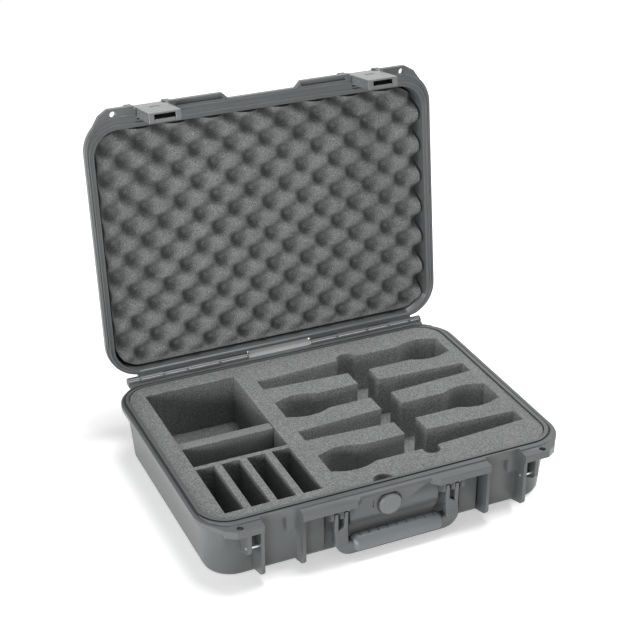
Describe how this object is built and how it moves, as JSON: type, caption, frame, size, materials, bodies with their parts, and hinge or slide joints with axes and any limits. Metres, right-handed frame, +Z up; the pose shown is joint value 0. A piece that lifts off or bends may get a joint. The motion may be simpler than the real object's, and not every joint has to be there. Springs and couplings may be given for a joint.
{
  "type": "microphone case",
  "caption": "Hard utility case with a hinged lid, trigger latches, a folding handle, a pressure valve, cut foam pockets for handheld microphones and convoluted lid foam.",
  "frame": {"origin": "centre of the rim outline in plan, at the level that the base stands on", "axes": "+X to the right as seen from the front, -Y towards the latches and the handle, +Z up; the lid stands open at 97 degrees"},
  "size_m": [0.506, 0.483, 0.4796],
  "materials": {
    "shell": "moulded, fine matt grain",
    "latch_plastic": "moulded, satin",
    "handle_plastic": "moulded, satin",
    "grip_rubber": "soft, matt",
    "seal_rubber": "soft, matt",
    "pin_steel": "bright drawn steel",
    "strip_plastic": "moulded, satin",
    "valve_plastic": "moulded, satin",
    "membrane": "porous film",
    "spring_steel": "drawn wire",
    "foam": "open-cell foam",
    "dark_foam": "open-cell foam, darker"
  },
  "bodies": {
    "base": {"base_shell": "shell", "rim_gasket": "seal_rubber", "strap_pin_left": "pin_steel", "strap_pin_right": "pin_steel", "handle_pin_left": "pin_steel", "handle_pin_right": "pin_steel", "valve_body": "valve_plastic", "valve_o_ring": "seal_rubber", "valve_membrane": "membrane", "valve_cap": "latch_plastic", "valve_nut": "valve_plastic", "hinge_pin_left": "pin_steel", "hinge_pin_right": "pin_steel", "hinge_strip": "strip_plastic", "floor_foam": "dark_foam", "tray_foam": "foam", "divider_foam": "foam"},
    "lid": {"lid_shell": "shell", "lid_foam": "dark_foam", "latch_pin_left": "pin_steel", "latch_pin_right": "pin_steel"},
    "latch_left": {"latch_body_left": "latch_plastic", "trigger_pin_left": "pin_steel", "trigger_spring_left": "spring_steel"},
    "latch_right": {"latch_body_right": "latch_plastic", "trigger_pin_right": "pin_steel", "trigger_spring_right": "spring_steel"},
    "trigger_left": {"trigger_left": "latch_plastic"},
    "trigger_right": {"trigger_right": "latch_plastic"},
    "handle": {"handle_frame": "handle_plastic", "handle_grip": "grip_rubber"}
  },
  "joints": [
    {"name": "lid_hinge", "type": "hinge", "parent": "base", "child": "lid", "pos_m": [0, 0.192, 0.092], "axis": [1, 0, 0], "range_deg": [0, 97]},
    {"name": "latch_left_pivot", "type": "hinge", "parent": "lid", "child": "latch_left", "pos_m": [-0.1557, 0.26155, 0.45825], "axis": [1, 0, 0], "range_deg": [-100, 2.5]},
    {"name": "latch_right_pivot", "type": "hinge", "parent": "lid", "child": "latch_right", "pos_m": [0.1557, 0.26155, 0.45825], "axis": [1, 0, 0], "range_deg": [-100, 2.5]},
    {"name": "trigger_left_pivot", "type": "hinge", "parent": "latch_left", "child": "trigger_left", "pos_m": [-0.1557, 0.21619, 0.46828], "axis": [1, 0, 0], "range_deg": [-10, 0], "stiffness_Nm_per_rad": 0.08, "springref_deg": 14.32, "deforming": ["trigger_spring_left"]},
    {"name": "trigger_right_pivot", "type": "hinge", "parent": "latch_right", "child": "trigger_right", "pos_m": [0.1557, 0.21619, 0.46828], "axis": [1, 0, 0], "range_deg": [-10, 0], "stiffness_Nm_per_rad": 0.08, "springref_deg": 14.32, "deforming": ["trigger_spring_right"]},
    {"name": "handle_swing", "type": "hinge", "parent": "base", "child": "handle", "pos_m": [0, -0.1835, 0.072], "axis": [1, 0, 0], "range_deg": [-92, 0]}
  ]
}
